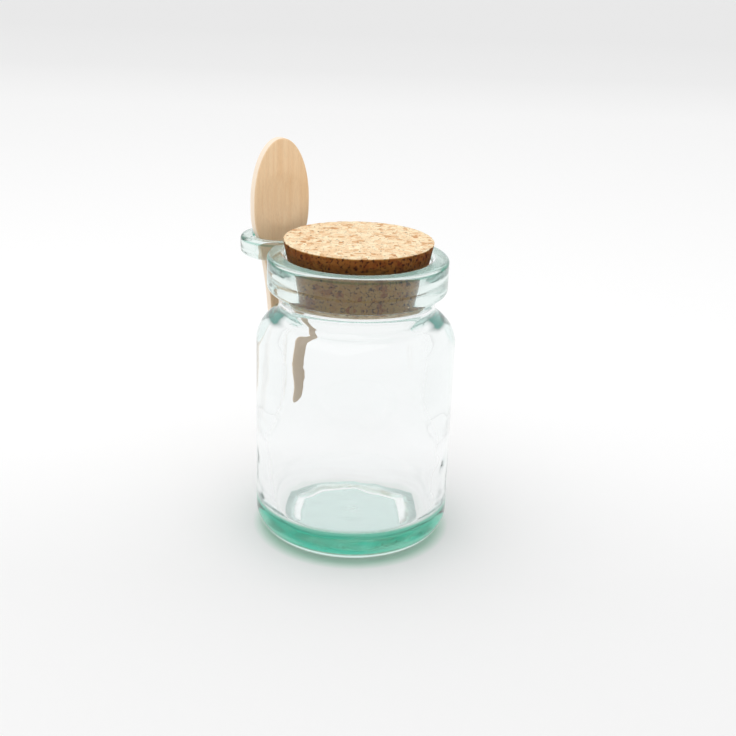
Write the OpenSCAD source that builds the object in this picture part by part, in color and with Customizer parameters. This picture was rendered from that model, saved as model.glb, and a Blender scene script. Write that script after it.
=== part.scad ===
// Glass storage jar with a tapered cork stopper and a wooden spoon.
// The jar is one pressed piece of thick recycled glass: foot, wall, shoulder,
// neck, collar and a side loop that holds the spoon.
// Frame: +Z up, origin on the jar's axis at the level of its foot, loop on -X.
// All sizes are in millimetres.

/* [Jar body] */
// Outer diameter of the body
body_d = 76; // [66:1:90]
// Thickness of the body wall
wall_t = 5.5; // [4:0.5:7]
// Thickness of the wall in the jar's upper half
upper_wall_t = 9.6; // [7:0.2:10.5]
// Level at which the wall starts to thicken
thicken_low_z = 31; // [26:1:45]
// Level at which the wall has its full thickness
thicken_high_z = 61; // [52:1:68]
// Level at which the inside begins to close in to the neck
closes_from_z = 74; // [70:1:78]
// Level at which the inside meets the bore
throat_z = 87; // [84:0.5:90]
// Height of the rim above the surface the jar stands on
jar_h = 111; // [105:1:140]
// Level at which the straight wall ends and the shoulder begins
shoulder_z = 77.5; // [60:0.5:79]
// Radius of the rounded shoulder
shoulder_r = 12; // [9:0.5:14]

/* [Foot and floor] */
// Width of the flat ring that the jar stands on, inside the heel
foot_w = 5; // [3:0.5:6]
// Height of the hollow under the base
push_up = 1.6; // [0.8:0.2:3]
// Radius of the outer heel, where the wall turns into the foot
heel_r = 9.5; // [6:0.5:12]
// Level of the inner floor at its middle
floor_z = 7; // [6:0.5:12]
// Radius of the inner corner between floor and wall
floor_corner_r = 8; // [4:0.5:12]

/* [Neck and collar] */
// Outer diameter of the neck, below the collar
neck_d = 59.6; // [58:0.2:61]
// Radius of the hollow curve between neck and shoulder
neck_curve_r = 5; // [3:0.5:7]
// Outer diameter of the collar
collar_d = 68; // [66:1:74]
// Height of the collar
collar_h = 13.8; // [12:0.1:16]
// Radius of the collar's lower edge
collar_low_r = 2.6; // [1.5:0.1:3]
// Radius of the rim's outer edge
rim_out_r = 1.6; // [0.8:0.1:2]
// Radius of the rim's inner edge
rim_in_r = 2.2; // [1:0.1:2.6]

/* [Spoon loop] */
// Distance from the side of the body out to the middle of the loop
loop_off = 4.6; // [4.4:0.2:8]
// Outer diameter of the loop
loop_d = 31; // [28:0.5:33]
// Diameter of the hole in the loop
loop_hole_d = 20; // [18:0.5:21]
// Thickness of the loop
loop_h = 7.6; // [6:0.2:9]
// Level of the loop's top below the rim
loop_drop = 0.2; // [0.2:0.1:3]
// Radius of the loop's edges
loop_edge_r = 1.8; // [0.8:0.1:2.4]
// Width of the root that joins the loop to the collar
loop_root_w = 10; // [6:0.5:14]

/* [Cork stopper] */
// Diameter of the stopper at its top
cork_top_d = 56.4; // [54:0.2:58]
// Diameter of the stopper at its bottom
cork_bottom_d = 48.4; // [46:0.2:50]
// Height of the stopper
cork_h = 20.5; // [18:0.5:26]
// Height of the stopper that stands proud of the rim
cork_proud = 6; // [4:0.5:9]
// Bevel on the stopper's edges
cork_bevel = 0.5; // [0.2:0.1:1]
// Gap all round between stopper and bore
cork_gap = 0.3; // [0.3:0.05:0.5]

/* [Wooden spoon] */
// Length of the spoon from end to end
spoon_len = 104; // [95:1:110]
// Width of the spoon's bowl at its widest
bowl_w = 24.2; // [23:0.2:27]
// Distance from the bowl's tip to its widest place
bowl_tip_len = 24.4; // [20:0.2:30]
// Distance from the bowl's widest place down to the seat in the loop
bowl_seat_len = 14.6; // [12:0.2:17]
// Width of the handle at its far end
handle_w = 7.6; // [6:0.2:10]
// Thickness of the wood
spoon_t = 4; // [3:0.25:5]
// Depth of the hollow carved in the bowl
bowl_dish = 1.4; // [0.6:0.2:2]
// Width of the hollow carved in the bowl
bowl_dish_w = 21; // [16:0.5:23]
// Gap between the spoon's edge and the hole in the loop
spoon_gap = 0.3; // [0.3:0.05:0.6]
// Turn of the spoon's face about its length, from facing the jar's axis
spoon_turn = -16; // [-40:1:40]

/* [Hidden] */

$fn = 64;

// Jar radii and levels that follow from the driving sizes
body_r = body_d / 2;
inner_r = body_r - wall_t;
upper_r = body_r - upper_wall_t;
foot_r = body_r - heel_r;
foot_in_r = foot_r - foot_w;
neck_r = neck_d / 2;
collar_r = collar_d / 2;
collar_z = jar_h - collar_h;

// Where the collar's round begins at the neck
collar_low_start = -115;

// Shoulder: a round arc, then a hollow curve that meets it and the neck without a corner
shoulder_x = body_r - shoulder_r;
neck_curve_x = neck_r + neck_curve_r;
neck_curve_z = shoulder_z + sqrt(pow(shoulder_r + neck_curve_r, 2) - pow(neck_curve_x - shoulder_x, 2));
shoulder_end = atan2(neck_curve_z - shoulder_z, neck_curve_x - shoulder_x);

// Stopper and bore: one cone, set apart by cork_gap
cork_top_r = cork_top_d / 2;
cork_bottom_r = cork_bottom_d / 2;
cork_top_z = jar_h + cork_proud;
cork_bottom_z = cork_top_z - cork_h;
cork_taper = (cork_top_r - cork_bottom_r) / cork_h;
bore_below_cork = 2; // free length of bore under the stopper
bore_z = cork_bottom_z - bore_below_cork;
function bore_r(z) = cork_bottom_r + (z - cork_bottom_z) * cork_taper + cork_gap;

// Steps along each rounded corner and each part of the shoulder, and how far a cut runs past a face
corner_steps = 8;
shoulder_steps = 10;
swell_steps = 6;
cut_over = 2;

// Loop: its place, radii and levels
loop_x = body_r + loop_off;
loop_out_r = loop_d / 2;
loop_in_r = loop_hole_d / 2;
loop_top_z = jar_h - loop_drop;
loop_z = loop_top_z - loop_h;

// Spoon levels, worked from the seat where the bowl fills the hole in the loop
mouth_share = 2 / 3; // share of the hole's round mouth that lies above the seat
seat_z = loop_top_z - mouth_share * loop_edge_r;
seat_w = 2 * sqrt(pow(loop_in_r, 2) - pow(spoon_t / 2, 2)) - 2 * spoon_gap;
bowl_z = seat_z + bowl_seat_len;
spoon_top_z = bowl_z + bowl_tip_len;
spoon_end_z = spoon_top_z - spoon_len;
neck_run = seat_z - spoon_end_z - handle_w / 2; // the bowl's shoulder runs out over the whole handle

// Radius of the ball that carves the hollow, from its width and depth
dish_r = pow(bowl_dish_w / 2, 2) / (2 * bowl_dish) + bowl_dish / 2;
dish_rise = 1; // height of the hollow's middle above the bowl's widest place
neck_ease = 3; // how fast the bowl's shoulder falls away into the handle
seat_ease = 1.7; // how late the bowl narrows to its seat

// Points along an arc of a circle, from angle a0 to a1
function arc(cx, cz, r, a0, a1, n) =
    [for (i = [0:n]) [cx + r * cos(a0 + (a1 - a0) * i / n), cz + r * sin(a0 + (a1 - a0) * i / n)]];

// Points down an inner wall from radius x0 to x1: two equal arcs that meet the walls without a corner
function swell(x0, z0, x1, z1) =
    let (turn = 2 * atan2(x1 - x0, z0 - z1), r = (z0 - z1) / (2 * sin(turn)))
    concat(arc(x0 + r, z0, r, 180, 180 + turn, swell_steps),
        [for (p = [1:swell_steps]) [x1 - r + r * cos(turn * (1 - p / swell_steps)), z1 + r * sin(turn * (1 - p / swell_steps))]]);

// Outside of the jar in section, from the axis out and up to the rim
function jar_outside() = concat(
    [[0, push_up], [foot_in_r - push_up, push_up], [foot_in_r, 0]],
    arc(foot_r, heel_r, heel_r, -90, 0, corner_steps),
    arc(shoulder_x, shoulder_z, shoulder_r, 0, shoulder_end, shoulder_steps),
    arc(neck_curve_x, neck_curve_z, neck_curve_r, 180 + shoulder_end, 180, shoulder_steps),
    arc(collar_r - collar_low_r, collar_z + collar_low_r, collar_low_r, collar_low_start, 0, corner_steps),
    arc(collar_r - rim_out_r, jar_h - rim_out_r, rim_out_r, 0, 90, corner_steps)
);

// Inside of the jar in section, from the rim down to the axis
function jar_inside() = concat(
    arc(bore_r(jar_h - rim_in_r) + rim_in_r, jar_h - rim_in_r, rim_in_r, 90, 180, corner_steps),
    [[bore_r(bore_z), bore_z]],
    swell(bore_r(bore_z), throat_z, upper_r, closes_from_z),
    swell(upper_r, thicken_high_z, inner_r, thicken_low_z),
    arc(inner_r - floor_corner_r, floor_z + floor_corner_r, floor_corner_r, 0, -90, corner_steps),
    [[0, floor_z]]
);

// Section of the loop: a bar with rounded edges, drawn at its own radius
module loop_section() {
    polygon(concat(
        arc(loop_in_r + loop_edge_r, loop_z + loop_edge_r, loop_edge_r, 180, 270, corner_steps),
        arc(loop_out_r - loop_edge_r, loop_z + loop_edge_r, loop_edge_r, 270, 360, corner_steps),
        arc(loop_out_r - loop_edge_r, loop_top_z - loop_edge_r, loop_edge_r, 0, 90, corner_steps),
        arc(loop_in_r + loop_edge_r, loop_top_z - loop_edge_r, loop_edge_r, 90, 180, corner_steps)
    ));
}

// The loop with its root, which runs into the collar's wall
module spoon_loop() {
    root_len = loop_x - collar_r + collar_low_r;
    translate([-loop_x, 0, 0])
    difference() {
        union() {
            rotate_extrude()
                loop_section();
            translate([0, -loop_root_w / 2, loop_z + loop_edge_r])
                cube([root_len, loop_root_w, loop_h - 2 * loop_edge_r]);
        }
        translate([0, 0, loop_z - cut_over])
            cylinder(r = loop_in_r, h = loop_h + 2 * cut_over);
    }
}

// The bore and the hollow of the jar, carried over the rim
module jar_hollow() {
    rotate_extrude()
        polygon(concat(
            [[0, jar_h + cut_over], [bore_r(jar_h - rim_in_r) + rim_in_r, jar_h + cut_over]],
            jar_inside()
        ));
}

module glass_jar() {
    color([0.66, 0.85, 0.79, 0.45])
    difference() {
        union() {
            rotate_extrude()
                polygon(concat(jar_outside(), [[0, jar_h]]));
            spoon_loop();
        }
        jar_hollow();
    }
}

module cork_stopper() {
    color([0.82, 0.6, 0.38])
    rotate_extrude()
        polygon([
            [0, cork_bottom_z],
            [cork_bottom_r - cork_bevel, cork_bottom_z],
            [cork_bottom_r + cork_taper * cork_bevel, cork_bottom_z + cork_bevel],
            [cork_top_r - cork_taper * cork_bevel, cork_top_z - cork_bevel],
            [cork_top_r - cork_bevel, cork_top_z],
            [0, cork_top_z]
        ]);
}

// Half the spoon's width at a level: a round bowl that narrows to the seat, then a shoulder that
// runs out into the handle
seat_fall = acos(seat_w / bowl_w);
function half_w(z) =
    z >= bowl_z ? bowl_w / 2 * sqrt(max(0, 1 - pow((z - bowl_z) / bowl_tip_len, 2))) :
    z >= seat_z ? bowl_w / 2 * cos(seat_fall * pow((bowl_z - z) / bowl_seat_len, seat_ease)) :
    z >= seat_z - neck_run ? handle_w / 2 + (seat_w - handle_w) / 2
        * pow(1 - (seat_z - z) / neck_run, neck_ease) :
    handle_w / 2;

// Levels at which the outline has a point, from the bowl's tip to the handle's round end
tip_steps = 14;
side_steps = 8;
outline_z = concat(
    [for (i = [0:tip_steps]) bowl_z + bowl_tip_len * cos(90 * i / tip_steps)],
    [for (i = [1:side_steps]) bowl_z - bowl_seat_len * i / side_steps],
    [for (i = [1:side_steps]) seat_z - neck_run * i / side_steps]
);

// The spoon's outline, upright, bowl at the top
module spoon_outline() {
    right_side = [for (z = outline_z) [half_w(z), z]];
    left_side = [for (i = [len(outline_z) - 1:-1:1]) [-half_w(outline_z[i]), outline_z[i]]];
    polygon(concat(
        right_side,
        arc(0, spoon_end_z + handle_w / 2, handle_w / 2, 0, -180, 2 * corner_steps),
        left_side
    ));
}

module wooden_spoon() {
    color([0.85, 0.72, 0.53])
    translate([-loop_x, 0, 0])
    rotate([0, 0, 90 + spoon_turn])
    difference() {
        translate([0, spoon_t / 2, 0])
            rotate([90, 0, 0])
                linear_extrude(height = spoon_t)
                    spoon_outline();
        translate([0, -spoon_t / 2 - dish_r + bowl_dish, bowl_z + dish_rise])
            sphere(r = dish_r);
    }
}

glass_jar();
cork_stopper();
wooden_spoon();
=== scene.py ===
"""A thick recycled-glass jar with a tapered cork stopper and a wooden spoon in a loop on its collar."""

import math

import bmesh
import bpy
from bpy.props import FloatProperty, FloatVectorProperty, IntProperty, PointerProperty
from bpy.types import Operator, Panel, PropertyGroup
from mathutils import Matrix, Vector, noise


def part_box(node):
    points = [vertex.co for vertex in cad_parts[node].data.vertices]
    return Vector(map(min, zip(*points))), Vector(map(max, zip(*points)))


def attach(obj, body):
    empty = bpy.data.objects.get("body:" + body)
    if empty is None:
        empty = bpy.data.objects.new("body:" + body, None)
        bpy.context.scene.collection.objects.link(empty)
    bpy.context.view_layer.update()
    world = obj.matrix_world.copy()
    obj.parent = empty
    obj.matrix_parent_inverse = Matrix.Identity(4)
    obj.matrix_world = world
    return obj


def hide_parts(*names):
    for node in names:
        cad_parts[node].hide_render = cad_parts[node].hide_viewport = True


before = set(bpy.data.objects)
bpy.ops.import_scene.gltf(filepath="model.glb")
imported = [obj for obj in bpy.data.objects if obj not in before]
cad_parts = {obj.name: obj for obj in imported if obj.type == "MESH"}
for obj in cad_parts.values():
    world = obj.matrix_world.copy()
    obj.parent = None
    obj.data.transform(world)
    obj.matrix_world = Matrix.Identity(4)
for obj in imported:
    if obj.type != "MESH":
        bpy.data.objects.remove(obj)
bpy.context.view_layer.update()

bl_info = {
    "name": "Cork Jar",
    "version": (1, 0, 0),
    "blender": (4, 5, 0),
    "location": "3D View > Sidebar > Cork Jar",
    "description": "Builds a glass jar, its cork stopper and its wooden spoon round a fixed frame",
    "category": "Object",
}

MM = 0.001

JAR_LOW, JAR_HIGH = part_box("glass_jar")
CORK_LOW, CORK_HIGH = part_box("cork_stopper")
SPOON_LOW, SPOON_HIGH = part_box("wooden_spoon")

SEAT_GAP = 0.00005  # the visual skin lies this far inside the solid that it stands for


def linear(hex_colour):
    """An sRGB hex colour as linear red, green and blue."""
    parts = [int(hex_colour[i : i + 2], 16) / 255 for i in (0, 2, 4)]
    return tuple(c / 12.92 if c <= 0.04045 else ((c + 0.055) / 1.055) ** 2.4 for c in parts)


# Sizes and colours that a user would change

def length(name, description, default):
    """A length in metres, shown in the scene's unit."""
    return FloatProperty(
        name=name, description=description, default=default, min=0.0, unit="LENGTH", precision=5
    )


def colour(name, description, hex_colour):
    """A colour, given as sRGB hex."""
    return FloatVectorProperty(
        name=name, description=description, default=linear(hex_colour), subtype="COLOR", size=3, min=0.0, max=1.0
    )


class JarSizes(PropertyGroup):
    """Sizes of the glass."""

    body_r: length("Body radius", "Outer radius of the body", JAR_HIGH.y)
    height: length("Height", "Level of the rim", JAR_HIGH.z)
    wall: length("Wall", "Thickness of the body wall", 5.5 * MM)
    upper_wall: length("Upper wall", "Thickness of the wall in the upper half", 9.6 * MM)
    thicken_low: length("Wall thickens from", "Level at which the wall starts to thicken", 31 * MM)
    thicken_high: length("Wall thick from", "Level at which the wall has its full thickness", 61 * MM)
    closes_from: length("Inside closes from", "Level at which the inside begins to close in to the neck", 74 * MM)
    throat_z: length("Throat", "Level at which the inside meets the bore", 87 * MM)
    foot_w: length("Foot width", "Width of the flat standing ring", 5 * MM)
    push_up: length("Push-up", "Height of the hollow under the base", 1.6 * MM)
    heel_r: length("Heel round", "Radius of the outer heel", 9.5 * MM)
    floor_z: length("Floor", "Level of the inner floor", 7 * MM)
    corner_r: length("Floor corner", "Radius of the inner corner at the floor", 8 * MM)
    shoulder_z: length("Shoulder", "Level at which the shoulder begins", 77.5 * MM)
    shoulder_r: length("Shoulder round", "Radius of the shoulder", 12 * MM)
    neck_r: length("Neck radius", "Outer radius of the neck", 29.8 * MM)
    neck_curve_r: length("Neck curve", "Radius of the curve between neck and shoulder", 5 * MM)
    collar_r: length("Collar radius", "Outer radius of the collar", 34 * MM)
    collar_h: length("Collar height", "Height of the collar", 13.8 * MM)
    collar_low_r: length("Collar lower edge", "Radius of the collar's lower edge", 2.6 * MM)
    rim_out_r: length("Rim outer edge", "Radius of the rim's outer edge", 1.6 * MM)
    rim_in_r: length("Rim inner edge", "Radius of the rim's inner edge", 2.2 * MM)
    bore_gap: length("Bore gap", "Gap between stopper and bore", 0.3 * MM)
    loop_out_r: length("Loop radius", "Outer radius of the spoon loop", 15.5 * MM)
    loop_in_r: length("Loop hole", "Radius of the hole in the loop", 10 * MM)
    loop_h: length("Loop height", "Thickness of the loop", 7.6 * MM)
    loop_drop: length("Loop drop", "Level of the loop's top below the rim", 0.2 * MM)
    loop_edge_r: length("Loop edge", "Radius of the loop's edges", 1.8 * MM)
    wave: length("Wave", "How far the inner wall wanders, as it does in pressed glass", 0.30 * MM)
    glass_green: colour("Base green", "Colour of the thick glass at the base", "1F9A78")


class CorkSizes(PropertyGroup):
    """Sizes and colours of the stopper."""

    top_r: length("Top radius", "Radius of the stopper at its top", 28.2 * MM)
    bottom_r: length("Bottom radius", "Radius of the stopper at its bottom", 24.2 * MM)
    bevel: length("Edge bevel", "Bevel on the stopper's edges", 0.5 * MM)
    pit_depth: length("Pit depth", "Depth of the pits in the turned side", 0.45 * MM)
    granule: length("Granule", "Usual width of a cork granule", 1.9 * MM)
    pale: colour("Pale granules", "Colour of the palest granules", "FFEFCC")
    tan: colour("Tan granules", "Colour of most granules", "F4D0A4")
    brown: colour("Brown granules", "Colour of the darkest granules", "D39A66")


class SpoonSizes(PropertyGroup):
    """Sizes and colours of the spoon."""

    bowl_w: length("Bowl width", "Width of the bowl at its widest", 24.2 * MM)
    tip_len: length("Bowl tip", "Length from the bowl's widest place to its tip", 24.4 * MM)
    seat_len: length("Bowl seat", "Length from the bowl's widest place to the loop", 14.6 * MM)
    seat_w: length("Seat width", "Width where the bowl sits in the loop", 18.996 * MM)
    handle_w: length("Handle width", "Width of the handle at its end", 7.6 * MM)
    thick: length("Thickness", "Thickness of the wood", 4 * MM)
    dish: length("Dish", "Depth of the hollow in the bowl", 1.4 * MM)
    dish_w: length("Dish width", "Width of the hollow in the bowl", 21 * MM)
    edge: length("Edge", "Radius of the sanded edges", 0.6 * MM)
    turn: FloatProperty(
        name="Turn", description="Turn of the spoon's face in its loop", default=math.radians(-16), unit="ROTATION"
    )
    light: colour("Light wood", "Colour between the grain lines", "F1D2AB")
    dark: colour("Grain", "Colour of the grain lines", "EAC59A")


class StageSizes(PropertyGroup):
    """Camera, lights and floor."""

    azimuth: FloatProperty(
        name="Azimuth", description="Camera's place round the jar", default=math.radians(42.5), unit="ROTATION"
    )
    distance: length("Camera distance", "From the jar's axis to the camera, level", 410.2 * MM)
    rise: length("Camera height", "Camera's height above the floor", 219.7 * MM)
    focal: FloatProperty(name="Lens", description="Focal length in millimetres", default=55.42, unit="CAMERA")
    floor: colour("Floor", "Colour of the studio floor", "F6F6F6")


# Meshes

def arc(x, z, r, start, end, steps):
    """Points of an arc in the XZ plane, angles in degrees."""
    turn = [math.radians(start + (end - start) * i / steps) for i in range(steps + 1)]
    return [(x + r * math.cos(a), z + r * math.sin(a)) for a in turn]


def run(start, end, step):
    """Points along a straight line about a step apart, without its ends."""
    count = max(1, round(math.dist(start, end) / step))
    return [
        (start[0] + (end[0] - start[0]) * i / count, start[1] + (end[1] - start[1]) * i / count)
        for i in range(1, count)
    ]


def swell(x0, z0, x1, z1, steps):
    """Points down an inner wall from radius x0 to x1: two equal arcs that meet the walls without a corner."""
    turn = 2 * math.degrees(math.atan2(x1 - x0, z0 - z1))
    r = (z0 - z1) / 2 / math.sin(math.radians(turn))
    return arc(x0 + r, z0, r, 180, 180 + turn, steps) + arc(x1 - r, z1, r, turn, 0, steps)[1:]


def lathe(profile, steps, centre_x=0.0, closed=False):
    """A bmesh of a section in the XZ plane spun about an upright axis."""
    bm = bmesh.new()
    points = [bm.verts.new((centre_x + x, 0.0, z)) for x, z in profile]
    pairs = list(zip(points, points[1:]))
    if closed:
        pairs.append((points[-1], points[0]))
    edges = [bm.edges.new(pair) for pair in pairs]
    bmesh.ops.spin(
        bm, geom=points + edges, cent=(centre_x, 0, 0), axis=(0, 0, 1), angle=math.tau, steps=steps, use_merge=True
    )
    bmesh.ops.remove_doubles(bm, verts=bm.verts, dist=1e-7)
    bmesh.ops.recalc_face_normals(bm, faces=bm.faces)
    return bm


def to_object(bm, name, *materials):
    """Turns a bmesh into a smooth object at the origin."""
    for face in bm.faces:
        face.smooth = True
    mesh = bpy.data.meshes.new(name)
    bm.to_mesh(mesh)
    bm.free()
    for material in materials:
        mesh.materials.append(material)
    piece = bpy.data.objects.new(name, mesh)
    bpy.context.scene.collection.objects.link(piece)
    return piece


def settle(piece, body, node):
    """Puts a finished piece on its body, in place of its CAD node."""
    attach(piece, body)
    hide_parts(node)
    return piece


def fold(x):
    """Eases 0 to 1 with level ends."""
    x = min(1.0, max(0.0, x))
    return x * x * (3 - 2 * x)


# Materials

def add_node(tree, kind, settings=None, values=None, links=None):
    """Adds one shader node with its settings, its input values and its input links."""
    node = tree.nodes.new(kind)
    for key, value in (settings or {}).items():
        setattr(node, key, value)
    for key, value in (values or {}).items():
        node.inputs[key].default_value = value
    for key, socket in (links or {}).items():
        tree.links.new(socket, node.inputs[key])
    return node


def new_material(name):
    """An empty node material with its output."""
    material = bpy.data.materials.new(name)
    material.use_nodes = True
    tree = material.node_tree
    tree.nodes.clear()
    return material, tree, add_node(tree, "ShaderNodeOutputMaterial")


def set_ramp(node, stops):
    """Gives a colour ramp its stops, as (place, linear colour)."""
    ramp = node.color_ramp
    while len(ramp.elements) > 1:
        ramp.elements.remove(ramp.elements[-1])
    for i, (place, shade) in enumerate(stops):
        element = ramp.elements[0] if i == 0 else ramp.elements.new(place)
        element.position = place
        element.color = (*shade, 1.0)


def recycled_glass(jar):
    """Pressed soda-lime glass from mixed bottles: clear in a thin wall, sea green where it is thick."""
    material, tree, out = new_material("recycled soda-lime glass")
    place = add_node(tree, "ShaderNodeTexCoord").outputs["Object"]
    split = add_node(tree, "ShaderNodeSeparateXYZ", links={"Vector": place})

    def maths(operation, first, second=0.0, clamp=False):
        """One sum of two sockets or numbers."""
        node = add_node(tree, "ShaderNodeMath", {"operation": operation, "use_clamp": clamp})
        for i, value in enumerate((first, second)):
            if isinstance(value, (int, float)):
                node.inputs[i].default_value = value
            else:
                tree.links.new(value, node.inputs[i])
        return node.outputs["Value"]

    def tinted(share, shade, before):
        """The colour before, changed to a shade by a share."""
        node = add_node(tree, "ShaderNodeMix", {"data_type": "RGBA", "blend_type": "MULTIPLY"})
        tree.links.new(share, node.inputs[0])
        for i, value in ((6, before), (7, shade)):
            if isinstance(value, tuple):
                node.inputs[i].default_value = (*value, 1.0)
            else:
                tree.links.new(value, node.inputs[i])
        return node.outputs[2]

    x, y, z = (split.outputs[axis] for axis in "XYZ")
    across = maths("SQRT", maths("ADD", maths("MULTIPLY", x, x), maths("MULTIPLY", y, y)))
    facing = add_node(tree, "ShaderNodeNewGeometry").outputs["Backfacing"]
    # Light that enters low on the side crosses the whole base, so it comes out a deeper green.
    # The rim and the loop are thick too, and their edges carry light from far inside; the dark green line just under
    # the rim's outer edge is painted shade.
    level = maths("DIVIDE", z, jar.height)
    tint = add_node(tree, "ShaderNodeValToRGB", links={"Fac": level})
    set_ramp(tint, [(height * MM / jar.height, linear(shade)) for height, shade in GLASS_TINTS_AND_RIM_SHADE])
    # The neck is narrower than the body, so above the shoulder the outside starts that much further in
    neck = maths("MULTIPLY", maths("GREATER_THAN", z, jar.shoulder_z + 2 * MM), jar.body_r - jar.neck_r - 5.1 * MM)
    outside = maths("GREATER_THAN", maths("ADD", across, neck), jar.body_r - 5.4 * MM)
    side = maths("SUBTRACT", outside, facing, True)
    # The colour of the melt is streaky, in bands about 3 mm high that run a few centimetres round the jar
    streaks = add_node(
        tree,
        "ShaderNodeMapping",
        values={"Scale": (1 / (14 * MM), 1 / (14 * MM), 1 / (3 * MM))},
        links={"Vector": place},
    )
    streak = add_node(
        tree, "ShaderNodeTexNoise", values={"Scale": 1.0, "Detail": 3.0}, links={"Vector": streaks.outputs["Vector"]}
    )
    strong = add_node(
        tree,
        "ShaderNodeMapRange",
        values={"From Min": 0.35, "From Max": 0.6, "To Min": 1.0 - GLASS_STREAK, "To Max": 1.0},
        links={"Value": streak.outputs["Fac"]},
    ).outputs["Result"]
    colour_in = tinted(maths("MULTIPLY", side, strong), tint.outputs["Color"], (1.0, 1.0, 1.0))
    # Along the neck and the rim a glancing look runs a long way inside the glass, which greens them at the sides; the
    # dark of the neck's teardrops and of the rim's edges is painted shade.
    edge = add_node(tree, "ShaderNodeValToRGB", links={"Fac": level})
    set_ramp(edge, [(height * MM / jar.height, linear(shade)) for height, shade in GLASS_GLANCE_GREEN_AND_SHADE])
    glance = add_node(
        tree,
        "ShaderNodeMapRange",
        values={"From Min": EDGE_FROM, "From Max": EDGE_FULL, "To Min": 0.0, "To Max": 1.0},
        links={"Value": add_node(tree, "ShaderNodeLayerWeight", values={"Blend": 0.5}).outputs["Facing"]},
    ).outputs["Result"]
    colour_in = tinted(maths("MULTIPLY", side, glance), edge.outputs["Color"], colour_in)
    # The base is stamped with a six-sided mark, ribbed round its border and stippled
    border = six_sided(tree, maths, x, y)
    low = maths("LESS_THAN", z, jar.push_up + 0.3 * MM)
    marked = maths("MULTIPLY", low, maths("LESS_THAN", border, MARK_R))
    colour_in = tinted(maths("MULTIPLY", marked, facing), linear(UNDER_TINT), colour_in)
    ribbed = maths("MULTIPLY", marked, maths("GREATER_THAN", border, MARK_R - 4.4 * MM))
    ribs = maths("SINE", maths("MULTIPLY", maths("ARCTAN2", y, x), MARK_RIBS))
    stipple = add_node(
        tree, "ShaderNodeTexVoronoi", {"feature": "F1"}, {"Scale": 1 / (0.9 * MM)}, {"Vector": place}
    ).outputs["Distance"]
    # Faint chill marks left by the mould, about 6 mm apart
    chill = add_node(
        tree, "ShaderNodeTexNoise", values={"Scale": 1 / (6 * MM), "Detail": 2.0, "Roughness": 0.4}, links={"Vector": place}
    ).outputs["Fac"]
    relief = maths("MULTIPLY", chill, CHILL)
    relief = maths("ADD", relief, maths("MULTIPLY", maths("MULTIPLY", ribbed, ribs), RIB))
    relief = maths("ADD", relief, maths("MULTIPLY", maths("MULTIPLY", low, stipple), STIPPLE))
    bump = add_node(
        tree, "ShaderNodeBump", values={"Strength": 1.0, "Distance": 1 * MM}, links={"Height": relief}
    )
    # The rim was ground flat and fire-polished, which left it a little dull; its top is also tinted a darker
    # grey-green, painted shade beside the dark stopper
    ground = maths("GREATER_THAN", z, jar.height - 0.06 * MM)
    skin = add_node(
        tree,
        "ShaderNodeBsdfPrincipled",
        values={"IOR": 1.5, "Transmission Weight": 1.0},
        links={
            "Base Color": tinted(maths("SUBTRACT", ground, facing, True), linear(RIM_PAINTED_SHADE), colour_in),
            "Normal": bump.outputs["Normal"],
            "Roughness": maths("MULTIPLY", ground, RIM_ROUGH),
        },
    )
    # Colour of 1 m of this glass at density 1: red goes first, then blue
    depth = add_node(
        tree, "ShaderNodeVolumeAbsorption", values={"Color": (0.12, 0.76, 0.62, 1.0), "Density": GLASS_DEPTH}
    )
    tree.links.new(skin.outputs["BSDF"], out.inputs["Surface"])
    tree.links.new(depth.outputs["Volume"], out.inputs["Volume"])
    return material


GLASS_DEPTH = 2.0
# Colours of the outside by level in mm: the deep green of the thick base, the collar's pale tint, and at 109.0 to
# 110.1 a line of painted shade under the rim's edge
GLASS_TINTS_AND_RIM_SHADE = (
    (0.0, "BFE6DA"), (3.6, "BFE6DA"), (4.6, "0C8A64"), (12.6, "0C8A64"), (13.9, "2FA27F"), (15.6, "F7F6F7"),
    (95.0, "F7F6F7"), (98.0, "E2F0EB"), (109.0, "E2F0EB"), (109.3, "7FB8A7"), (109.8, "7FB8A7"), (110.1, "E2F0EB"),
)
GLASS_STREAK = 0.025
# Colours at a glancing look, by level in mm: painted shade on the neck from 87 to 90.6 and on the rim's edge, over the
# green of the long path
GLASS_GLANCE_GREEN_AND_SHADE = (
    (0.0, "FFFFFF"), (86.2, "FFFFFF"), (87.0, "14564A"), (90.6, "14564A"), (91.6, "FFFFFF"), (109.2, "FFFFFF"),
    (109.4, "0F7F60"), (110.5, "0F7F60"), (110.8, "FFFFFF"),
)
EDGE_FROM = 0.46
EDGE_FULL = 0.56
UNDER_TINT = "D2F8F1"
# Grey-green painted shade on the rim's top
RIM_PAINTED_SHADE = "BACFC8"
RIM_ROUGH = 0.22
MARK_R = 28.8 * MM  # from the middle of the base to a flat of the six-sided mark
MARK_RIBS = 160.0
RIB = 0.08
STIPPLE = 0.03
CHILL = 0.03


def six_sided(tree, maths, x, y):
    """Distance from the axis in the six-sided mark's own measure: the same all along its border."""
    reach = 0.0
    for turn in (SIX_TURN + math.radians(30 + 60 * i) for i in range(3)):
        along = maths("ADD", maths("MULTIPLY", x, math.cos(turn)), maths("MULTIPLY", y, math.sin(turn)))
        reach = maths("MAXIMUM", maths("ABSOLUTE", along), reach)
    return reach


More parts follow.
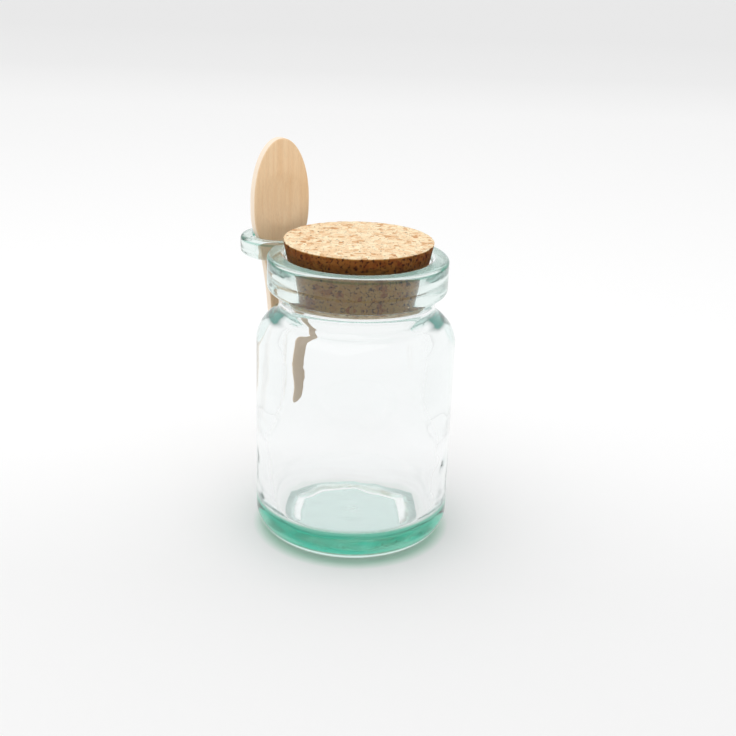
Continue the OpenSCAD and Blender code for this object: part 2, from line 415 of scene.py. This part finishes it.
def cork_material(name, cork, shade_ramp, rough, speck):
    """Agglomerated cork: granules of bark glued under pressure, each its own tan, with dark bark between."""
    material, tree, out = new_material(name)
    place = add_node(tree, "ShaderNodeTexCoord")
    # Granule borders wander, so the pattern is bent before it is cut into cells
    bend = add_node(
        tree,
        "ShaderNodeTexNoise",
        values={"Scale": 1 / cork.granule, "Detail": 3.0},
        links={"Vector": place.outputs["Object"]},
    )
    push = add_node(
        tree,
        "ShaderNodeVectorMath",
        {"operation": "MULTIPLY_ADD"},
        links={0: bend.outputs["Color"], 2: place.outputs["Object"]},
    )
    push.inputs[1].default_value = (0.9 * MM,) * 3
    cells = add_node(
        tree,
        "ShaderNodeTexVoronoi",
        {"feature": "F1"},
        {"Scale": 1 / cork.granule, "Randomness": 1.0},
        {"Vector": push.outputs["Vector"]},
    )
    granule = add_node(tree, "ShaderNodeSeparateColor", links={"Color": cells.outputs["Color"]})
    tones = add_node(tree, "ShaderNodeValToRGB", links={"Fac": granule.outputs["Red"]})
    set_ramp(
        tones,
        [(0.0, tuple(cork.tan)), (0.45, tuple(cork.pale)), (0.8, tuple(cork.tan)), (1.0, tuple(cork.brown))],
    )
    # Fine grit inside each granule, about 0.4 mm
    grit = add_node(
        tree,
        "ShaderNodeTexNoise",
        values={"Scale": 1 / (0.4 * MM), "Detail": 2.0},
        links={"Vector": place.outputs["Object"]},
    )
    gritty = add_node(
        tree,
        "ShaderNodeMapRange",
        values={"From Min": 0.3, "From Max": 0.7, "To Min": 0.82, "To Max": 1.08},
        links={"Value": grit.outputs["Fac"]},
    )
    toned = add_node(
        tree,
        "ShaderNodeMix",
        {"data_type": "RGBA", "blend_type": "MULTIPLY"},
        {0: 1.0},
        {6: tones.outputs["Color"], 7: gritty.outputs["Result"]},
    )
    # Bark: dark red-brown flecks, longer than wide, about 0.9 mm
    fleck = add_node(
        tree,
        "ShaderNodeTexNoise",
        values={"Scale": 1 / (1.0 * MM), "Detail": 4.0, "Roughness": 0.6, "Distortion": 0.6},
        links={"Vector": place.outputs["Object"]},
    )
    bark = add_node(
        tree,
        "ShaderNodeMapRange",
        values={"From Min": speck, "From Max": speck + 0.06, "To Min": 0.0, "To Max": 0.9},
        links={"Value": fleck.outputs["Fac"]},
    )
    flecked = add_node(
        tree,
        "ShaderNodeMix",
        {"data_type": "RGBA"},
        {7: (*linear("5A2C14"), 1.0)},
        {0: bark.outputs["Result"], 6: toned.outputs[2]},
    )
    # Painted shade in rings, by level from the stopper's bottom to its top: on the side it is darkest just above the
    # rim, with a paler top edge as painted light
    split = add_node(tree, "ShaderNodeSeparateXYZ", links={"Vector": place.outputs["Object"]})
    rise = add_node(
        tree,
        "ShaderNodeMapRange",
        values={"From Min": CORK_LOW.z, "From Max": CORK_HIGH.z, "To Min": 0.0, "To Max": 1.0},
        links={"Value": split.outputs["Z"]},
    )
    painted_shade = add_node(tree, "ShaderNodeValToRGB", links={"Fac": rise.outputs["Result"]})
    set_ramp(painted_shade, [(part, linear(shade)) for part, shade in shade_ramp])
    shaded = add_node(
        tree,
        "ShaderNodeMix",
        {"data_type": "RGBA", "blend_type": "MULTIPLY"},
        {0: 1.0},
        {6: flecked.outputs[2], 7: painted_shade.outputs["Color"]},
    )
    pores = add_node(
        tree,
        "ShaderNodeMath",
        {"operation": "SUBTRACT"},
        links={0: grit.outputs["Fac"], 1: bark.outputs["Result"]},
    )
    bump = add_node(
        tree, "ShaderNodeBump", values={"Strength": 0.5, "Distance": rough}, links={"Height": pores.outputs["Value"]}
    )
    skin = add_node(
        tree,
        "ShaderNodeBsdfPrincipled",
        values={"Roughness": 0.85, "Specular IOR Level": 0.25},
        links={"Base Color": shaded.outputs[2], "Normal": bump.outputs["Normal"]},
    )
    tree.links.new(skin.outputs["BSDF"], out.inputs["Surface"])
    return material


def pale_wood(spoon):
    """Sanded birch: fine straight grain along the spoon, no varnish, so a soft dull sheen."""
    material, tree, out = new_material("sanded birch")
    place = add_node(tree, "ShaderNodeTexCoord")
    # Grain lines run up the spoon, about 1.5 mm apart and 40 mm long
    stretch = add_node(
        tree,
        "ShaderNodeMapping",
        values={"Scale": (1 / (1.5 * MM), 1 / (1.5 * MM), 1 / (40 * MM))},
        links={"Vector": place.outputs["Object"]},
    )
    grain = add_node(
        tree,
        "ShaderNodeTexNoise",
        values={"Scale": 1.0, "Detail": 4.0, "Roughness": 0.6, "Distortion": 0.4},
        links={"Vector": stretch.outputs["Vector"]},
    )
    tones = add_node(tree, "ShaderNodeValToRGB", links={"Fac": grain.outputs["Fac"]})
    set_ramp(tones, [(0.35, tuple(spoon.light)), (0.72, tuple(spoon.dark))])
    # Short pores, 0.25 mm wide and 2 mm long
    tight = add_node(
        tree,
        "ShaderNodeMapping",
        values={"Scale": (1 / (0.25 * MM), 1 / (0.25 * MM), 1 / (2 * MM))},
        links={"Vector": place.outputs["Object"]},
    )
    pores = add_node(
        tree, "ShaderNodeTexNoise", values={"Scale": 1.0, "Detail": 2.0}, links={"Vector": tight.outputs["Vector"]}
    )
    pored = add_node(
        tree,
        "ShaderNodeMapRange",
        values={"From Min": 0.3, "From Max": 0.7, "To Min": 0.95, "To Max": 1.03},
        links={"Value": pores.outputs["Fac"]},
    )
    shade = add_node(
        tree,
        "ShaderNodeMix",
        {"data_type": "RGBA", "blend_type": "MULTIPLY"},
        {0: 1.0},
        {6: tones.outputs["Color"], 7: pored.outputs["Result"]},
    )
    # The sawn edges are painted paler than the two flat faces: painted light, as on edges that catch the light
    across = Matrix.Rotation(math.pi / 2 + spoon.turn, 3, "Z") @ Vector((0, 1, 0))
    turned = add_node(
        tree, "ShaderNodeVectorMath", {"operation": "DOT_PRODUCT"}, {1: across}, {0: place.outputs["Normal"]}
    )
    level = add_node(tree, "ShaderNodeMath", {"operation": "ABSOLUTE"}, links={0: turned.outputs["Value"]})
    edge = add_node(
        tree,
        "ShaderNodeMapRange",
        values={"From Min": 0.3, "From Max": 0.75, "To Min": 0.8, "To Max": 0.0},
        links={"Value": level.outputs["Value"]},
    )
    shade = add_node(
        tree,
        "ShaderNodeMix",
        {"data_type": "RGBA"},
        {7: (*linear("FBEDDB"), 1.0)},
        {0: edge.outputs["Result"], 6: shade.outputs[2]},
    )
    bump = add_node(
        tree, "ShaderNodeBump", values={"Strength": 0.25, "Distance": 0.1 * MM}, links={"Height": pores.outputs["Fac"]}
    )
    skin = add_node(
        tree,
        "ShaderNodeBsdfPrincipled",
        values={"Roughness": 0.6, "Specular IOR Level": 0.35},
        links={"Base Color": shade.outputs[2], "Normal": bump.outputs["Normal"]},
    )
    tree.links.new(skin.outputs["BSDF"], out.inputs["Surface"])
    return material


def studio_floor(stage):
    """White card under even light: the picture's ground, with a painted fall-off of the light, a little greyer in
    front of the jar and far away.
    """
    material, tree, out = new_material("white card")
    place = add_node(tree, "ShaderNodeTexCoord")
    turned = add_node(
        tree,
        "ShaderNodeMapping",
        {"vector_type": "TEXTURE"},
        {"Rotation": (0.0, 0.0, stage.azimuth)},
        {"Vector": place.outputs["Object"]},
    )
    split = add_node(tree, "ShaderNodeSeparateXYZ", links={"Vector": turned.outputs["Vector"]})
    depth = add_node(
        tree,
        "ShaderNodeMapRange",
        values={"From Min": -0.5, "From Max": 3.5, "To Min": 0.0, "To Max": 1.0},
        links={"Value": split.outputs["Y"]},
    )
    grey = add_node(tree, "ShaderNodeValToRGB", links={"Fac": depth.outputs["Result"]})
    # Painted fall-off of the light by distance behind the jar: greyer in front and far off, white just behind
    stops = [(-0.5, "EEEEEE"), (-0.05, "F2F2F2"), (0.06, "FBFBFB"), (0.16, "FFFFFF"), (0.75, "FFFFFF")]
    stops += [(1.2, "FEFEFE"), (1.7, "F6F6F6"), (2.6, "F2F2F2")]
    set_ramp(grey, [((far + 0.5) / 4.0, linear(shade)) for far, shade in stops])
    # Painted green shadow: the thick foot's shade, tinted green by the glass, is painted on the card close round it
    away = add_node(
        tree, "ShaderNodeVectorMath", {"operation": "LENGTH"}, links={0: place.outputs["Object"]}
    )
    ring = add_node(
        tree,
        "ShaderNodeMapRange",
        values={"From Min": GREEN_FULL, "From Max": GREEN_END, "To Min": 1.0, "To Max": 0.0},
        links={"Value": away.outputs["Value"]},
    )
    card = add_node(
        tree,
        "ShaderNodeMix",
        {"data_type": "RGBA", "blend_type": "MULTIPLY"},
        {7: (*linear(PAINTED_GREEN_SHADOW), 1.0)},
        {0: ring.outputs["Result"], 6: grey.outputs["Color"]},
    )
    skin = add_node(
        tree,
        "ShaderNodeBsdfPrincipled",
        values={"Roughness": 0.9, "Specular IOR Level": 0.1},
        links={"Base Color": card.outputs[2]},
    )
    glow = add_node(
        tree, "ShaderNodeEmission", values={"Strength": 1.0}, links={"Color": grey.outputs["Color"]}
    )
    path = add_node(tree, "ShaderNodeLightPath")
    share = add_node(
        tree,
        "ShaderNodeMapRange",
        values={"From Min": 0.0, "From Max": 1.0, "To Min": 0.0, "To Max": FLOOR_GLOW},
        links={"Value": path.outputs["Is Camera Ray"]},
    )
    through = add_node(
        tree,
        "ShaderNodeMath",
        {"operation": "MAXIMUM"},
        links={0: path.outputs["Is Glossy Ray"], 1: path.outputs["Is Transmission Ray"]},
    )
    share = add_node(
        tree,
        "ShaderNodeMapRange",
        values={"From Min": 0.0, "From Max": 1.0, "To Max": GLASS_GLOW},
        links={"Value": through.outputs["Value"], "To Min": share.outputs["Result"]},
    )
    both = add_node(
        tree,
        "ShaderNodeMixShader",
        links={0: share.outputs["Result"], 1: skin.outputs["BSDF"], 2: glow.outputs["Emission"]},
    )
    tree.links.new(both.outputs["Shader"], out.inputs["Surface"])
    return material


# Share of the floor's own white in what the eye and the glass see; the rest keeps its shadow
FLOOR_GLOW = 0.1
GLASS_GLOW = 0.8
# Painted green shadow round the foot: its colour, and the distances from the axis where it is full and where it ends
PAINTED_GREEN_SHADOW = "BCEBD4"
GREEN_FULL = 34.5 * MM
GREEN_END = 39.5 * MM


def seen_ray(tree):
    """1 for a ray that the eye, a reflection or the glass sends out, 0 for light on its way to a surface."""
    path = add_node(tree, "ShaderNodeLightPath")
    first = add_node(
        tree,
        "ShaderNodeMath",
        {"operation": "MAXIMUM"},
        links={0: path.outputs["Is Camera Ray"], 1: path.outputs["Is Glossy Ray"]},
    )
    seen = add_node(
        tree,
        "ShaderNodeMath",
        {"operation": "MAXIMUM"},
        links={0: first.outputs["Value"], 1: path.outputs["Is Transmission Ray"]},
    )
    return seen.outputs["Value"]


# Glass jar

SPIN_STEPS = 224


def bore_radius(jar, cork, z):
    """Radius of the bore at a level: the stopper's cone and the gap round it."""
    taper = (cork.top_r - cork.bottom_r) / (CORK_HIGH.z - CORK_LOW.z)
    return cork.bottom_r + (z - CORK_LOW.z) * taper + jar.bore_gap


def jar_section(jar, cork):
    """The jar's section from the middle of the base, out and up to the rim and down to the floor."""
    shoulder_x = jar.body_r - jar.shoulder_r
    curve_x = jar.neck_r + jar.neck_curve_r
    reach = jar.shoulder_r + jar.neck_curve_r
    curve_z = jar.shoulder_z + math.sqrt(reach**2 - (curve_x - shoulder_x) ** 2)
    turn = math.degrees(math.atan2(curve_z - jar.shoulder_z, curve_x - shoulder_x))
    collar_z = jar.height - jar.collar_h
    foot_r = jar.body_r - jar.heel_r
    foot_in = foot_r - jar.foot_w
    upper_r = jar.body_r - jar.upper_wall
    inner_r = jar.body_r - jar.wall
    bore_z = CORK_LOW.z - 2 * MM

    base = [(0.0, jar.push_up)] + run((0, jar.push_up), (foot_in - jar.push_up, jar.push_up), 2 * MM)
    base += [(foot_in - jar.push_up, jar.push_up), (foot_in, 0.0)]
    heel = arc(foot_r, jar.heel_r, jar.heel_r, -90, 0, 18)
    wall = run(heel[-1], (jar.body_r, jar.shoulder_z), 2.5 * MM)
    shoulder = arc(shoulder_x, jar.shoulder_z, jar.shoulder_r, 0, turn, 18)
    neck = arc(curve_x, curve_z, jar.neck_curve_r, 180 + turn, 180, 12)[1:]
    low_x = jar.collar_r - jar.collar_low_r
    collar = arc(low_x, collar_z + jar.collar_low_r, jar.collar_low_r, -115, 0, 12)
    side = run(collar[-1], (jar.collar_r, jar.height - jar.rim_out_r), 2 * MM)
    rim = arc(jar.collar_r - jar.rim_out_r, jar.height - jar.rim_out_r, jar.rim_out_r, 0, 90, 10)
    mouth_z = jar.height - jar.rim_in_r
    mouth = arc(bore_radius(jar, cork, mouth_z) + jar.rim_in_r, mouth_z, jar.rim_in_r, 90, 180, 10)
    bore_end = (bore_radius(jar, cork, bore_z), bore_z)
    bore = run(mouth[-1], bore_end, 2 * MM) + [bore_end]
    throat = swell(bore_end[0], jar.throat_z, upper_r, jar.closes_from, 10)
    belly = swell(upper_r, jar.thicken_high, inner_r, jar.thicken_low, 10)
    corner_x = inner_r - jar.corner_r
    corner_z = jar.floor_z + jar.corner_r
    inside = throat + run(throat[-1], belly[0], 2.5 * MM) + belly
    inner_wall = run(inside[-1], (inner_r, corner_z), 2.5 * MM)
    corner = arc(corner_x, corner_z, jar.corner_r, 0, -90, 16)
    floor = run(corner[-1], (0, jar.floor_z), 2 * MM) + [(0.0, jar.floor_z)]
    return (
        base + heel + wall + shoulder + neck + collar + side + rim + mouth + bore
        + inside + inner_wall + corner + floor
    )


SIX_TURN = math.radians(132.5)  # one corner of the six points straight away from the camera
FLOOR_DIMPLE = 0.7 * MM  # rise of the floor's middle
FLOOR_DIMPLE_R = 5 * MM


def stamp_base(bm, jar):
    """Gives the hollow under the base its six soft sides, inside the ring that the jar stands on."""
    ring_r = jar.body_r - jar.heel_r
    for vert in bm.verts:
        x, y, z = vert.co
        r = math.hypot(x, y)
        if z > jar.push_up + 0.1 * MM or r > ring_r - 0.1 * MM or r < 1 * MM:
            continue
        around = (math.atan2(y, x) - SIX_TURN) % math.radians(60) - math.radians(30)
        flat = math.cos(math.radians(30)) / math.cos(around)
        share = 1 + SIX_SHARE * (flat / 0.95 - 1) * (1 - fold((r / ring_r - 0.84) / 0.16))
        vert.co = (x * share, y * share, z)


SIX_SHARE = 0.85


def hand_made(bm, jar):
    """Wanders the inner wall, floor and shoulder a little, always inside the solid's own wall."""
    inner_r = jar.body_r - jar.wall
    top = CORK_LOW.z - 3 * MM
    for vert in bm.verts:
        x, y, z = vert.co
        r = math.hypot(x, y)
        inside = jar.floor_z - 0.1 * MM < z < top and r < inner_r + 0.1 * MM
        if not inside:
            continue
        low = noise.noise(Vector((x, y, z * 0.6)) / (17 * MM))
        fine = noise.noise(Vector((x, y, z)) / (6 * MM) + Vector((7, 3, 1)))
        drift = jar.wave * (low + 0.35 * fine)
        drift *= fold((top - z) / (8 * MM))
        if r > 1 * MM and z > jar.floor_z + 2 * MM:
            x -= x / r * max(0.0, drift + 0.6 * jar.wave)
            y -= y / r * max(0.0, drift + 0.6 * jar.wave)
        elif z <= jar.floor_z + 2 * MM:
            dome = FLOOR_DIMPLE * fold(1 - r / FLOOR_DIMPLE_R)
            z += max(0.0, drift + 0.6 * jar.wave) + dome
        vert.co = (x, y, z)


def loop_mesh(jar):
    """The spoon loop: a bar with rounded edges, spun about its own middle."""
    centre_x = JAR_LOW.x + jar.loop_out_r
    top = jar.height - jar.loop_drop
    low = top - jar.loop_h
    edge = jar.loop_edge_r
    section = arc(jar.loop_in_r + edge, low + edge, edge, 180, 270, 8)
    section += arc(jar.loop_out_r - edge, low + edge, edge, 270, 360, 8)
    section += arc(jar.loop_out_r - edge, top - edge, edge, 0, 90, 8)
    section += arc(jar.loop_in_r + edge, top - edge, edge, 90, 180, 8)
    return lathe(section, 96, centre_x, closed=True)


def join_solids(first, second):
    """Unites two objects' meshes and drops the second. The second's faces get material index 1."""
    for face in second.data.polygons:
        face.material_index = 1
    union = first.modifiers.new("join", "BOOLEAN")
    union.operation = "UNION"
    union.solver = "EXACT"
    union.object = second
    shown = first.evaluated_get(bpy.context.evaluated_depsgraph_get())
    mesh = bpy.data.meshes.new_from_object(shown)
    first.modifiers.clear()
    bm = bmesh.new()
    bm.from_mesh(mesh)
    bpy.data.meshes.remove(mesh)
    bpy.data.objects.remove(second)
    return bm


def melt_seam(bm, reach, rounds):
    """Smooths the glass round the line where the loop meets the collar, as the mould does."""
    seam = [e for e in bm.edges if len({f.material_index for f in e.link_faces}) > 1]
    middles = [(e.verts[0].co + e.verts[1].co) / 2 for e in seam]
    near = [v for v in bm.verts if any((v.co - m).length < reach for m in middles)]
    for _ in range(rounds):
        bmesh.ops.smooth_vert(bm, verts=near, factor=0.5, use_axis_x=True, use_axis_y=True, use_axis_z=True)
    for face in bm.faces:
        face.material_index = 0


class JAR_OT_glass(Operator):
    """Builds the glass jar with its collar and spoon loop"""

    bl_idname = "cork_jar.glass"
    bl_label = "Glass jar"

    def execute(self, context):
        jar = context.scene.jar_sizes
        cork = context.scene.cork_sizes
        material = recycled_glass(jar)
        bm = lathe(jar_section(jar, cork), SPIN_STEPS)
        hand_made(bm, jar)
        stamp_base(bm, jar)
        vessel = to_object(bm, "vessel", material)
        loop = to_object(loop_mesh(jar), "loop", material, material)
        bm = join_solids(vessel, loop)
        bpy.data.objects.remove(vessel)
        melt_seam(bm, 1.6 * MM, 4)
        bmesh.ops.recalc_face_normals(bm, faces=bm.faces)
        settle(to_object(bm, "jar_glass", material), "jar", "glass_jar")
        return {"FINISHED"}


# Cork stopper

CORK_STEPS = 256
# Painted shade on the turned side, by part of its height: darkened under the rim, darkest just above it, lighter
# towards a painted lit top edge
SIDE_PAINTED_SHADE = (
    (0.0, "A98F5C"), (0.63, "A98F5C"), (0.69, "694C22"), (0.78, "7C5626"), (0.86, "8C5E2E"), (0.95, "8C5E2E"),
    (0.98, "E2BE85"),
)


def cork_section(cork):
    """Section of the stopper from the middle of its bottom, out, up and in to the middle of its top."""
    low, high = CORK_LOW.z, CORK_HIGH.z
    bevel = cork.bevel
    step = 0.75 * MM
    foot = (cork.bottom_r - bevel, low)
    side_low = (cork.bottom_r, low + bevel)
    side_high = (CORK_HIGH.x, high - bevel)
    crown = (cork.top_r - bevel, high)
    points = [(0.0, low)] + run((0, low), foot, step) + [foot, side_low]
    points += run(side_low, side_high, step) + [side_high, crown]
    return points + run(crown, (0, high), step) + [(0.0, high)]


def pit(cork, place, normal, depth):
    """A point of the cork sunk into the pits between its granules."""
    coarse = noise.noise(place / (1.7 * MM))
    small = noise.noise(place / (0.8 * MM) + Vector((3, 5, 7)))
    hollow = fold((coarse - 0.12) / 0.35) + 0.45 * fold((small - 0.15) / 0.35)
    return place - normal * (depth * hollow + SEAT_GAP)


class JAR_OT_cork(Operator):
    """Builds the cork stopper, pitted where it was turned and cleaner where it was sawn"""

    bl_idname = "cork_jar.cork"
    bl_label = "Cork stopper"

    def execute(self, context):
        cork = context.scene.cork_sizes
        bm = lathe(cork_section(cork), CORK_STEPS)
        bm.normal_update()
        low, high = CORK_LOW.z, CORK_HIGH.z
        moved = {}
        for vert in bm.verts:
            flat = vert.co.z > high - 0.1 * MM or vert.co.z < low + 0.1 * MM
            depth = cork.pit_depth * (0.25 if flat else 1.0)
            moved[vert] = pit(cork, vert.co.copy(), vert.normal.copy(), depth)
        for vert, place in moved.items():
            vert.co = place
        for face in bm.faces:
            middle = face.calc_center_median()
            flat = middle.z > high - 0.45 * MM or middle.z < low + 0.45 * MM
            face.material_index = 0 if flat else 1
        sawn = cork_material("cork sawn and sanded", cork, ((0.0, "FFFFFF"),), 0.15 * MM, 0.60)
        # The side is a shaded copy of the top's cork, with painted shade by level
        turned = cork_material("cork turned and pitted with painted shade", cork, SIDE_PAINTED_SHADE, 0.4 * MM, 0.545)
        settle(to_object(bm, "cork", sawn, turned), "cork", "cork_stopper")
        return {"FINISHED"}


# Wooden spoon

SEAT_EASE = 1.7  # how late the bowl narrows to its seat
NECK_EASE = 3  # how fast the bowl's shoulder falls away into the handle


def half_width(spoon, z):
    """Half the spoon's width at a level."""
    bowl_z = SPOON_HIGH.z - spoon.tip_len
    seat_z = bowl_z - spoon.seat_len
    if z >= bowl_z:
        return spoon.bowl_w / 2 * math.sqrt(max(0.0, 1 - ((z - bowl_z) / spoon.tip_len) ** 2))
    if z >= seat_z:
        fall = math.acos(spoon.seat_w / spoon.bowl_w)
        return spoon.bowl_w / 2 * math.cos(fall * ((bowl_z - z) / spoon.seat_len) ** SEAT_EASE)
    handle_end = SPOON_LOW.z + spoon.handle_w / 2
    left = max(0.0, (z - handle_end) / (seat_z - handle_end))
    return spoon.handle_w / 2 + (spoon.seat_w - spoon.handle_w) / 2 * left**NECK_EASE


def spoon_outline(spoon):
    """Outline points of the spoon, right side from the tip down, then the handle's end, then up."""
    bowl_z = SPOON_HIGH.z - spoon.tip_len
    seat_z = bowl_z - spoon.seat_len
    levels = [bowl_z + spoon.tip_len * math.cos(math.radians(90 * i / 28)) for i in range(1, 29)]
    levels += [bowl_z - spoon.seat_len * i / 12 for i in range(1, 13)]
    handle_end = SPOON_LOW.z + spoon.handle_w / 2
    levels += [seat_z - (seat_z - handle_end) * i / 30 for i in range(1, 30)]
    right = [(half_width(spoon, z), z) for z in levels]
    end = arc(0, SPOON_LOW.z + spoon.handle_w / 2, spoon.handle_w / 2, 0, -180, 20)
    left = [(-x, z) for x, z in reversed(right)]
    return [(0.0, SPOON_HIGH.z)] + right + end + left


class JAR_OT_spoon(Operator):
    """Builds the wooden spoon: cut from a flat blank, hollowed, and sanded on its edges"""

    bl_idname = "cork_jar.spoon"
    bl_label = "Wooden spoon"

    def execute(self, context):
        spoon = context.scene.spoon_sizes
        half = spoon.thick / 2 - SEAT_GAP
        bm = bmesh.new()
        outline = [bm.verts.new((x * 0.998, -half, z)) for x, z in spoon_outline(spoon)]
        blank = bm.faces.new(outline)
        cut = bmesh.ops.extrude_face_region(bm, geom=[blank])
        raised = [v for v in cut["geom"] if isinstance(v, bmesh.types.BMVert)]
        bmesh.ops.translate(bm, verts=raised, vec=(0, 2 * half, 0))
        bmesh.ops.recalc_face_normals(bm, faces=bm.faces)
        flats = [f for f in bm.faces if abs(f.normal.y) > 0.9]
        rims = [e for f in flats for e in f.edges]
        bmesh.ops.bevel(
            bm, geom=rims, offset=spoon.edge, segments=4, profile=0.5, affect="EDGES", material=-1, clamp_overlap=True
        )
        self.cut_grid(bm)
        self.hollow(bm, spoon)
        bmesh.ops.rotate(bm, verts=bm.verts, cent=(0, 0, 0), matrix=Matrix.Rotation(math.pi / 2 + spoon.turn, 3, "Z"))
        loop_x = JAR_LOW.x + context.scene.jar_sizes.loop_out_r
        bmesh.ops.translate(bm, verts=bm.verts, vec=(loop_x, 0, 0))
        bmesh.ops.triangulate(bm, faces=[f for f in bm.faces if len(f.verts) > 4])
        bmesh.ops.recalc_face_normals(bm, faces=bm.faces)
        piece = to_object(bm, "spoon", pale_wood(spoon))
        settle(piece, "spoon", "wooden_spoon")
        return {"FINISHED"}

    def cut_grid(self, bm):
        """Cuts the blank's faces into a grid fine enough to carve."""
        step = 1.25 * MM
        for axis, low, high in ((0, -13 * MM, 13 * MM), (2, SPOON_LOW.z, SPOON_HIGH.z)):
            count = int((high - low) / step)
            normal = Vector((1, 0, 0)) if axis == 0 else Vector((0, 0, 1))
            for i in range(1, count):
                plane = normal * (low + (high - low) * i / count)
                geom = bm.verts[:] + bm.edges[:] + bm.faces[:]
                bmesh.ops.bisect_plane(bm, geom=geom, dist=1e-6, plane_co=plane, plane_no=normal)

    def hollow(self, bm, spoon):
        """Sinks the bowl's face to the ball that carves it."""
        ball_r = (spoon.dish_w / 2) ** 2 / (2 * spoon.dish) + spoon.dish / 2
        front = -spoon.thick / 2
        centre = Vector((0, front - ball_r + spoon.dish, SPOON_HIGH.z - spoon.tip_len + 1 * MM))
        for vert in bm.verts:
            flat = math.hypot(vert.co.x - centre.x, vert.co.z - centre.z)
            if vert.co.y > 0 or flat >= ball_r:
                continue
            floor_y = centre.y + math.sqrt(ball_r**2 - flat**2)
            if floor_y > vert.co.y:
                vert.co.y = floor_y


# Stage

ROOM_LIGHT = 0.9  # strength of the white room as a light


def camera_matrix(stage, pitch, yaw, roll):
    """The camera's place and turn, from its azimuth round the jar and three small angles in radians."""
    forward = Vector((math.sin(yaw) * math.cos(pitch), math.cos(yaw) * math.cos(pitch), -math.sin(pitch)))
    level = Vector((math.cos(yaw), -math.sin(yaw), 0.0))
    up = level.cross(forward)
    right = level * math.cos(roll) + up * math.sin(roll)
    top = -level * math.sin(roll) + up * math.cos(roll)
    turn = Matrix((right, top, -forward)).transposed().to_4x4()
    turn.translation = Vector((0.0, -stage.distance, stage.rise))
    return Matrix.Rotation(stage.azimuth, 4, "Z") @ turn


class JAR_OT_stage(Operator):
    """Sets the floor, the lights, the world and the camera"""

    bl_idname = "cork_jar.stage"
    bl_label = "Stage"

    def execute(self, context):
        stage = context.scene.stage_sizes
        self.lay_floor(stage)
        self.light(context.scene, stage)
        lens = bpy.data.cameras.new("camera")
        lens.sensor_width = 36
        lens.lens = stage.focal
        lens.clip_start = 0.01
        camera = bpy.data.objects.new("camera", lens)
        camera.matrix_world = camera_matrix(stage, math.radians(20.56), math.radians(0.70), math.radians(1.97))
        context.scene.collection.objects.link(camera)
        context.scene.camera = camera
        context.scene.view_settings.view_transform = "Standard"
        context.scene.cycles.max_bounces = 32
        context.scene.cycles.transmission_bounces = 32
        context.scene.cycles.glossy_bounces = 16
        context.scene.cycles.use_denoising = True
        return {"FINISHED"}

    def lay_floor(self, stage):
        """A wide white floor."""
        bm = bmesh.new()
        bmesh.ops.create_grid(bm, x_segments=1, y_segments=1, size=12.0)
        bmesh.ops.translate(bm, verts=bm.verts, vec=(0, 0, -0.1 * MM))
        to_object(bm, "floor", studio_floor(stage))

    def light(self, scene, stage):
        """An even white room with one soft window."""
        world = bpy.data.worlds.new("white room")
        world.use_nodes = True
        world.node_tree.nodes.clear()
        tree = world.node_tree
        strength = add_node(
            tree,
            "ShaderNodeMapRange",
            values={"From Min": 0.0, "From Max": 1.0, "To Min": ROOM_LIGHT, "To Max": 1.0},
            links={"Value": seen_ray(tree)},
        )
        room = add_node(
            tree,
            "ShaderNodeBackground",
            values={"Color": (1, 1, 1, 1)},
            links={"Strength": strength.outputs["Result"]},
        )
        out = add_node(tree, "ShaderNodeOutputWorld")
        tree.links.new(room.outputs["Background"], out.inputs["Surface"])
        scene.world = world
        lamp = bpy.data.lights.new("window", "AREA")
        lamp.energy = 1.4
        lamp.size = 0.8
        window = bpy.data.objects.new("window", lamp)
        place = Matrix.Rotation(stage.azimuth, 4, "Z") @ Vector((-0.15, -0.15, 0.75))
        aim = (Vector((0, 0, 0.06)) - place).to_track_quat("-Z", "Y")
        window.matrix_world = Matrix.Translation(place) @ aim.to_matrix().to_4x4()
        scene.collection.objects.link(window)


class JAR_PT_panel(Panel):
    """Lists the pieces and their sizes"""

    bl_idname = "JAR_PT_panel"
    bl_label = "Cork Jar"
    bl_space_type = "VIEW_3D"
    bl_region_type = "UI"
    bl_category = "Cork Jar"

    def draw(self, context):
        for operator in (JAR_OT_glass, JAR_OT_cork, JAR_OT_spoon, JAR_OT_stage):
            self.layout.operator(operator.bl_idname)
        for group in ("jar_sizes", "cork_sizes", "spoon_sizes", "stage_sizes"):
            box = self.layout.box()
            sizes = getattr(context.scene, group)
            for name in sizes.__annotations__:
                box.prop(sizes, name)


GROUPS = {"jar_sizes": JarSizes, "cork_sizes": CorkSizes, "spoon_sizes": SpoonSizes, "stage_sizes": StageSizes}
CLASSES = (*GROUPS.values(), JAR_OT_glass, JAR_OT_cork, JAR_OT_spoon, JAR_OT_stage, JAR_PT_panel)


def register():
    for cls in CLASSES:
        bpy.utils.register_class(cls)
    for name, group in GROUPS.items():
        setattr(bpy.types.Scene, name, PointerProperty(type=group))


def unregister():
    for name in GROUPS:
        delattr(bpy.types.Scene, name)
    for cls in reversed(CLASSES):
        bpy.utils.unregister_class(cls)


def main():
    register()
    bpy.ops.cork_jar.stage()
    bpy.ops.cork_jar.glass()
    bpy.ops.cork_jar.cork()
    bpy.ops.cork_jar.spoon()


if __name__ == "__main__":
    main()
